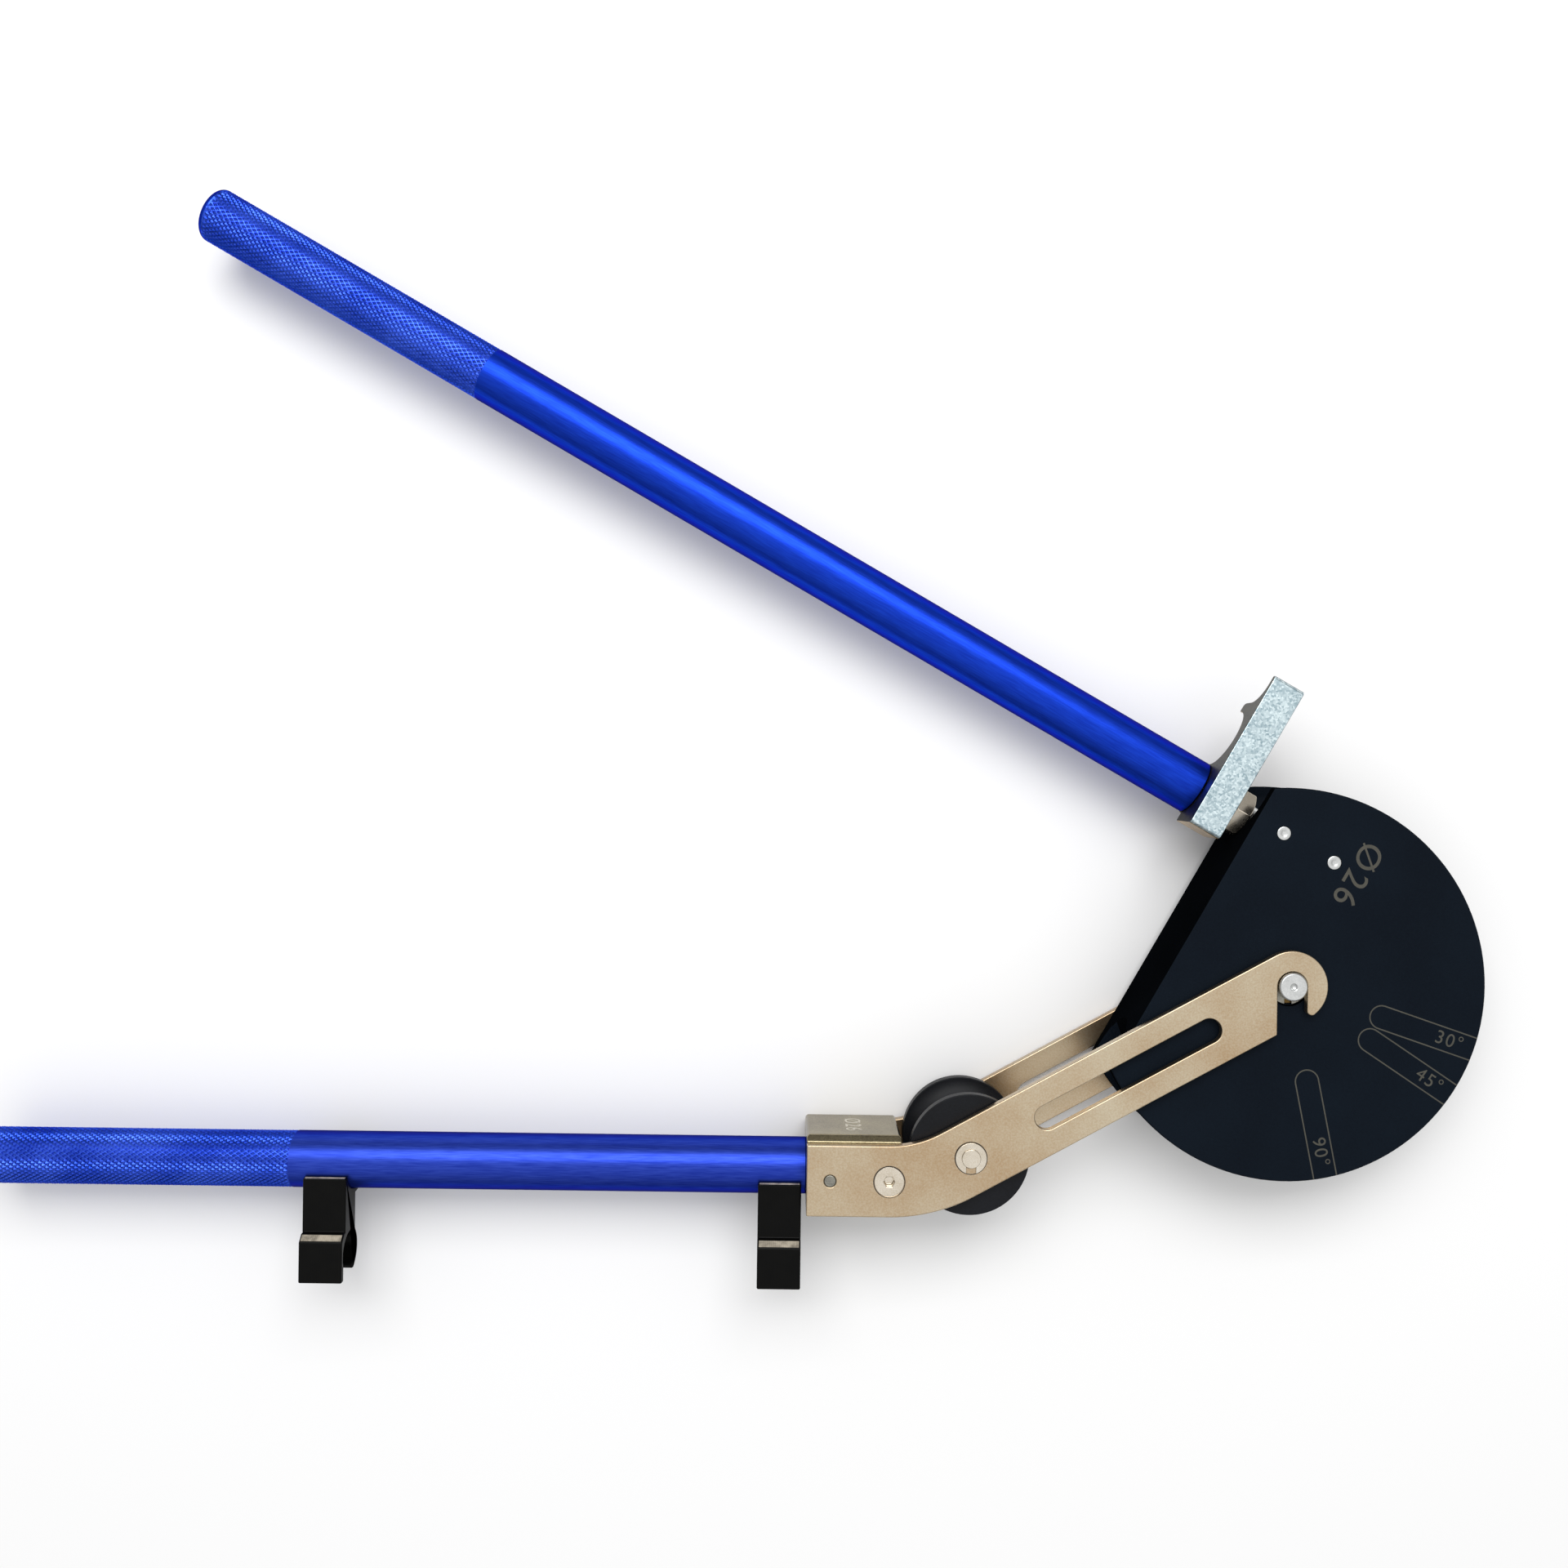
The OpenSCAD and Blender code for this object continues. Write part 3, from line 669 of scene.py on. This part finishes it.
@dataclass
class LaserMarks:
    """Laser marks: slot outlines with their angles and the tube's size on the former, and the size
    again on the socket block's side.

    Attributes:
        height: Height of the former's marked face.
        rim_mm: Radius of the former.
        angles: Bend angles with the direction of each mark.
        slot_mm: Width of a slot outline.
        inner_mm: Distance from the pivot to the centre of a slot's round end.
        line_mm: Width of a line.
        proud_mm: Height of a mark above its face.
        end_steps: Steps round a slot's end.
        number_mm: Distance from the pivot to the middle of an angle's number.
        number_height_mm: Height of an angle's number.
        size_text: Diameter of the tube that the former bends.
        size_place_mm: Middle of the tube's size, along the upper handle and across it from the pivot.
        size_height_mm: Height of the tube's size on the former.
        block_height_mm: Height of the tube's size on the socket block.
    """

    height: float
    rim_mm: float = 83.0
    angles: dict[str, float] = field(default_factory=lambda: {"30°": 341.5, "45°": 326.5, "90°": 281.5})
    slot_mm: float = 10.4
    inner_mm: float = 41.7
    line_mm: float = 0.55
    proud_mm: float = 0.03
    end_steps: int = 24
    number_mm: float = 72.0
    number_height_mm: float = 5.6
    size_text: str = "Ø26"
    size_place_mm: tuple[float, float] = (-1.4, 55.2)
    size_height_mm: float = 10.4
    block_height_mm: float = 7.0

    def outline(self, degrees: float) -> bmesh.types.BMesh:
        """Draw one slot outline, open at the rim.

        Args:
            degrees: Direction of the slot from the pivot.

        Returns:
            A flat ribbon, in place.
        """
        shape = bmesh.new()
        outer, inner = self.slot_mm / 2 * MM, (self.slot_mm / 2 - self.line_mm) * MM
        ends = [shape.verts.new((0, r, 0)) for r in (outer, inner)]
        edge = shape.edges.new(ends)
        spun = bmesh.ops.spin(shape, geom=ends + [edge], cent=(0, 0, 0), axis=(0, 0, 1),
                              angle=math.pi, steps=self.end_steps)
        last = [g for g in spun["geom_last"] if isinstance(g, bmesh.types.BMEdge)]
        reach = (math.sqrt(self.rim_mm ** 2 - (self.slot_mm / 2) ** 2) - self.inner_mm) * MM
        for side in ([edge], last):
            grown = bmesh.ops.extrude_edge_only(shape, edges=side)
            moved = [g for g in grown["geom"] if isinstance(g, bmesh.types.BMVert)]
            bmesh.ops.translate(shape, verts=moved, vec=(reach, 0, 0))
        place = Matrix.Rotation(math.radians(degrees), 4, "Z") @ Matrix.Translation(
            (self.inner_mm * MM, 0, 0))
        bmesh.ops.transform(shape, matrix=Matrix.Translation((0, 0, self.height)) @ place,
                            verts=shape.verts)
        return self.thick(shape)

    def thick(self, shape: bmesh.types.BMesh) -> bmesh.types.BMesh:
        """Give a flat mark its slight height.

        Args:
            shape: The flat mark.

        Returns:
            The same mark as a closed body.
        """
        grown = bmesh.ops.extrude_face_region(shape, geom=list(shape.faces))
        raised = [g for g in grown["geom"] if isinstance(g, bmesh.types.BMVert)]
        bmesh.ops.translate(shape, verts=raised, vec=(0, 0, self.proud_mm * MM))
        bmesh.ops.recalc_face_normals(shape, faces=shape.faces)
        return shape

    def lettering(self, text: str, place: Matrix, height_mm: float) -> bmesh.types.BMesh:
        """Write a plain number.

        Args:
            text: The characters.
            place: Where the middle of the text lies.
            height_mm: Height of a capital, in millimetres.

        Returns:
            The letters as a closed mesh, in place.
        """
        curve = bpy.data.curves.new("number", "FONT")
        curve.body = text
        curve.align_x = "CENTER"
        curve.align_y = "CENTER"
        curve.size = height_mm * MM / CAPITAL_SHARE
        curve.space_character = LETTER_SPACING
        holder = bpy.data.objects.new("number", curve)
        shape = bmesh.new()
        bpy.context.scene.collection.objects.link(holder)
        shape.from_mesh(holder.evaluated_get(bpy.context.evaluated_depsgraph_get()).to_mesh())
        bpy.data.objects.remove(holder)
        bpy.data.curves.remove(curve)
        bmesh.ops.remove_doubles(shape, verts=shape.verts, dist=WELD)
        self.thick(shape)
        bmesh.ops.transform(shape, matrix=place, verts=shape.verts)
        return shape

    def build(self) -> None:
        """Make every mark."""
        for text, degrees in self.angles.items():
            name = text.replace("°", "")
            new_piece(f"angle_mark_{name}", self.outline(degrees), LASER_MARK, "former")
            turn = Matrix.Rotation(math.radians(degrees), 4, "Z")
            reach = Matrix.Translation((self.number_mm * MM, 0, 0))
            place = Matrix.Translation((0, 0, self.height)) @ turn @ reach
            new_piece(f"angle_number_{name}", self.lettering(text, place, self.number_height_mm),
                      LASER_MARK, "former")
        along, across = (part * MM for part in self.size_place_mm)
        axis = Vector((math.cos(math.radians(UPPER_ANGLE)), math.sin(math.radians(UPPER_ANGLE)), 0))
        out = Vector((-axis.y, axis.x, 0)) * -1
        centre = axis * along + out * across + Vector((0, 0, self.height))
        place = Matrix.Translation(centre) @ Matrix.Rotation(math.radians(UPPER_ANGLE + 90), 4, "Z")
        new_piece("tube_size_number", self.lettering(self.size_text, place, self.size_height_mm),
                  LASER_MARK, "former")
        # On the block the number reads upwards along Z and faces +Y.
        low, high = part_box("socket_block")
        side = Vector(((low.x + high.x) / 2, high.y, (low.z + high.z) / 2))
        place = Matrix.Translation(side) @ Matrix(((0, 1, 0), (0, 0, 1), (1, 0, 0))).to_4x4()
        new_piece("block_size_number", self.lettering(self.size_text, place, self.block_height_mm),
                  BLOCK_MARK, "lever")


@dataclass
class GapShadeLine:
    """The painted shade line round a flush head or ring, on both outer faces of the fork.

    Attributes:
        name: The piece's name.
        centre: A point on its axis, which runs along Z.
        radius: Inner radius in metres.
        width: Width of the line in metres.
        proud: Height above the plate in metres.
        steps: Steps round the line.
    """

    name: str
    centre: Vector
    radius: float
    width: float = 0.35 * MM
    proud: float = 0.03 * MM
    steps: int = 64

    def build(self) -> bpy.types.Object:
        """Lay the line on both plates as one piece.

        Returns:
            The piece.
        """
        shape = bmesh.new()
        for plate, side in (("fork_plate_front", 1), ("fork_plate_rear", 0)):
            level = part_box(plate)[side].z
            top = level + (self.proud if side else -self.proud)
            near, far = self.centre.x + self.radius, self.centre.x + self.radius + self.width
            corners = [shape.verts.new((reach, self.centre.y, height))
                       for reach, height in ((near, level), (near, top), (far, top), (far, level))]
            sides = [shape.edges.new(pair) for pair in zip(corners, corners[1:] + corners[:1])]
            bmesh.ops.spin(shape, geom=corners + sides, cent=self.centre, axis=(0, 0, 1),
                           angle=math.tau, steps=self.steps, use_merge=True)
        bmesh.ops.remove_doubles(shape, verts=shape.verts, dist=WELD)
        bmesh.ops.recalc_face_normals(shape, faces=shape.faces)
        return new_piece(self.name, shape, PAINTED_GAP_SHADE, "lever")


@dataclass
class Studio:
    """Plain pale floor, soft lamps and the camera.

    Attributes:
        distance: Height of the camera above the tool's mid-plane.
        roll: Turn of the picture about the pivot's direction, in degrees.
        foot: Where the camera stands over the tool, from the pivot.
        field_ratio: Focal length divided by the picture's width.
        shift: Upward shift of the picture, as a share of its width.
        wall_level: Brightness of the room near the floor.
        top_level: Brightness of the room overhead.
        floor_half: Half the floor's width in metres.
        floor_level: Height of the floor, a little under the tool's lowest face.
        key_place: Where the lamp hangs.
        key_size: Width and height of the lamp in metres.
        key_watts: Power of the lamp.
        aim: The point that the lamp is aimed at.
    """

    distance: float = 0.582
    roll: float = 0.745
    foot: tuple[float, float] = (-0.21499, 0.09031)
    field_ratio: float = 1630 / 1920
    shift: float = -0.012
    wall_level: float = 0.2
    top_level: float = 1.05
    floor_half: float = 4.0
    floor_level: float = -0.0005
    key_place: tuple[float, float, float] = (-0.25, 1.0, 1.45)
    key_size: tuple[float, float] = (1.7, 0.9)
    key_watts: float = 21.0
    aim: tuple[float, float, float] = (-0.15, 0.05, 0.0)

    def camera(self, middle: float) -> None:
        """Set the camera straight above the tool.

        Args:
            middle: Height of the tool's mid-plane.
        """
        data = bpy.data.cameras.new("camera")
        data.sensor_width = 36.0
        data.lens = data.sensor_width * self.field_ratio
        data.shift_y = self.shift
        data.clip_start, data.clip_end = 0.01, 20.0
        camera = bpy.data.objects.new("camera", data)
        camera.location = (*self.foot, middle + self.distance)
        camera.rotation_euler = (0, 0, math.radians(self.roll))
        bpy.context.scene.collection.objects.link(camera)
        bpy.context.scene.camera = camera

    def floor(self) -> None:
        """Lay a pale matt floor under the tool."""
        shape = bmesh.new()
        bmesh.ops.create_grid(shape, x_segments=1, y_segments=1, size=self.floor_half)
        mesh = bpy.data.meshes.new("floor")
        shape.to_mesh(mesh)
        shape.free()
        floor = bpy.data.objects.new("floor", mesh)
        floor.location.z = self.floor_level
        paint = bpy.data.materials.new("pale_matt_floor")
        paint.use_nodes = True
        paint.node_tree.nodes.clear()
        diffuse = add_node(paint, "ShaderNodeBsdfDiffuse", {"Color": linear("#efefef")})
        add_node(paint, "ShaderNodeOutputMaterial", None, {"Surface": diffuse.outputs[0]})
        mesh.materials.append(paint)
        bpy.context.scene.collection.objects.link(floor)

    def lamp(self, name: str, place: tuple[float, float, float], size: tuple[float, float],
             watts: float, colour: str) -> None:
        """Hang one soft rectangular lamp, aimed at the tool.

        Args:
            name: The lamp's name.
            place: Where it hangs.
            size: Its width and height in metres.
            watts: Its power.
            colour: Its colour.
        """
        data = bpy.data.lights.new(name, "AREA")
        data.shape = "RECTANGLE"
        data.size, data.size_y = size
        data.energy = watts
        data.color = linear(colour)[:3]
        lamp = bpy.data.objects.new(name, data)
        lamp.location = place
        beam = Vector(self.aim) - Vector(place)
        lamp.rotation_euler = beam.to_track_quat("-Z", "Y").to_euler()
        bpy.context.scene.collection.objects.link(lamp)

    def sky(self) -> None:
        """Fill the room with soft light that is white overhead and greyer towards the walls."""
        world = bpy.data.worlds.new("studio")
        world.use_nodes = True
        world.node_tree.nodes.clear()
        place = add_node(world, "ShaderNodeTexCoord")
        split = add_node(world, "ShaderNodeSeparateXYZ", None, {0: place.outputs["Generated"]})
        level = add_node(world, "ShaderNodeMapRange", {"From Min": 0.1, "From Max": 0.95,
                                                       "To Min": self.wall_level, "To Max": self.top_level},
                         {"Value": split.outputs["Z"]})
        back = add_node(world, "ShaderNodeBackground", {"Color": linear("#ffffff")},
                        {"Strength": level.outputs[0]})
        add_node(world, "ShaderNodeOutputWorld", None, {"Surface": back.outputs[0]})
        bpy.context.scene.world = world

    def build(self, middle: float) -> None:
        """Set up the whole studio.

        Args:
            middle: Height of the tool's mid-plane.
        """
        bpy.context.scene.view_settings.view_transform = "Standard"
        self.camera(middle)
        self.floor()
        self.lamp("key_softbox", self.key_place, self.key_size, self.key_watts, "#ffffff")
        self.sky()


@dataclass
class Bender:
    """The whole tool.

    Attributes:
        coats: Every construction node that is shown with its edges broken.
    """

    coats: list[NodeCoat] = field(default_factory=lambda: [
        # The former's faces that do not look up carry painted shade.
        NodeCoat("former", "former", "black_anodised", HARD_BLACK, 0.25,
                 patches=(SHADED_GROOVE,)),
        NodeCoat("pin_bushes", "former", "bronze", BRONZE, 0.2),
        NodeCoat("stud", "former", "bright_steel", GROUND_STEEL, 0.0),
        NodeCoat("stud_cross_pins", "former", "bright_steel", GROUND_STEEL, 0.35, 2, 40.0, 1.2),
        NodeCoat("stud_nut", "former", "plated_steel", BRIGHT_NICKEL, 0.3),
        NodeCoat("stud_washer", "former", "plated_steel", BRIGHT_NICKEL, 0.25),
        NodeCoat("upper_handle_insert", "former", "natural_aluminium", BARE_ALUMINIUM, 0.3),
        # The hook's faces that do not look up carry painted shade, and its milled end a painted reflection.
        NodeCoat("tube_hook", "tube_hook", "zinc_steel", ZINC_PLATE, 0.4,
                 patches=(SHADED_HOOK, MILLED_END)),
        NodeCoat("hook_bush", "tube_hook", "bronze", BRONZE, 0.2),
        NodeCoat("centre_pin", "centre_pin", "bright_steel", GROUND_STEEL, 0.15),
        NodeCoat("pin_retaining_rings", "centre_pin", "spring_steel", SPRING_STEEL, 0.15),
        NodeCoat("fork_plate_front", "lever", "plated_steel", SATIN_NICKEL, 0.6, 3),
        NodeCoat("fork_plate_rear", "lever", "plated_steel", SATIN_NICKEL, 0.6, 3),
        NodeCoat("socket_block", "lever", "plated_steel", POLISHED_BLOCK, 0.5, 3),
        NodeCoat("socket_screws", "lever", "bright_steel", BRIGHT_NICKEL, 0.4),
        NodeCoat("socket_dowel", "lever", "spring_steel", SPRING_STEEL, 0.4),
        NodeCoat("roller_axle", "lever", "bright_steel", BRIGHT_NICKEL, 0.3),
        NodeCoat("axle_retaining_rings", "lever", "spring_steel", BRIGHT_NICKEL, 0.25),
        NodeCoat("thrust_washers", "lever", "white_nylon", NYLON, 0.0),
        NodeCoat("lower_handle_stud", "lever", "bright_steel", GROUND_STEEL, 0.0),
        NodeCoat("lower_handle_insert", "lever", "natural_aluminium", BARE_ALUMINIUM, 0.3),
        # Each clip's ridge carries a painted highlight.
        NodeCoat("storage_clip_inner", "lever", "black_plastic", BLACK_NYLON, 0.7, 4, 30.0,
                 patches=(RIDGE_PAINTED_HIGHLIGHT,)),
        NodeCoat("storage_clip_outer", "lever", "black_plastic", BLACK_NYLON, 0.7, 4, 30.0,
                 patches=(RIDGE_PAINTED_HIGHLIGHT,)),
        NodeCoat("roller", "roller", "black_anodised", TURNED_BLACK, 0.4, 3),
        NodeCoat("roller_bush", "roller", "bronze", BRONZE, 0.2),
    ])

    def handles(self) -> list[Handle]:
        """Lay out both handles from the frame.

        Returns:
            The upper handle and the lower handle.
        """
        seat = mount_place("tube_seat")[1]
        insert_low, insert_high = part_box("upper_handle_insert")
        insert = (insert_low + insert_high) / 2
        half_insert = 20.0 * MM
        upper_start = insert - seat * half_insert
        low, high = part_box("lower_handle_tube")
        middle = (low + high) / 2
        lower_start = Vector((high.x, middle.y, middle.z))
        return [
            Handle("upper_handle_tube", "upper_handle_end_plug", "former", upper_start, seat, UPPER_BLUE),
            Handle("lower_handle_tube", "lower_handle_end_plug", "lever", lower_start,
                   Vector((-1, 0, 0)), LOWER_BLUE),
        ]

    def build(self) -> None:
        """Make every piece."""
        for coat in self.coats:
            coat.build()
        for handle in self.handles():
            handle.build()
        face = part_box("former")[1].z
        LaserMarks(face).build()
        # Painted shade lines round the screw heads and the axle's retaining rings.
        low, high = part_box("socket_screws")
        GapShadeLine("screw_gap_painted_shade", (low + high) / 2, (high.x - low.x) / 2).build()
        low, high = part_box("axle_retaining_rings")
        GapShadeLine("axle_gap_painted_shade", joint_place("roller_spin")[0], (high.x - low.x) / 2).build()


def main() -> None:
    """Build the scene."""
    logging.basicConfig(level=logging.INFO, format="%(name)s: %(message)s")
    middle = joint_place("bend_swing")[0].z
    Studio().build(middle)
    Bender().build()


if __name__ == "__main__":
    main()
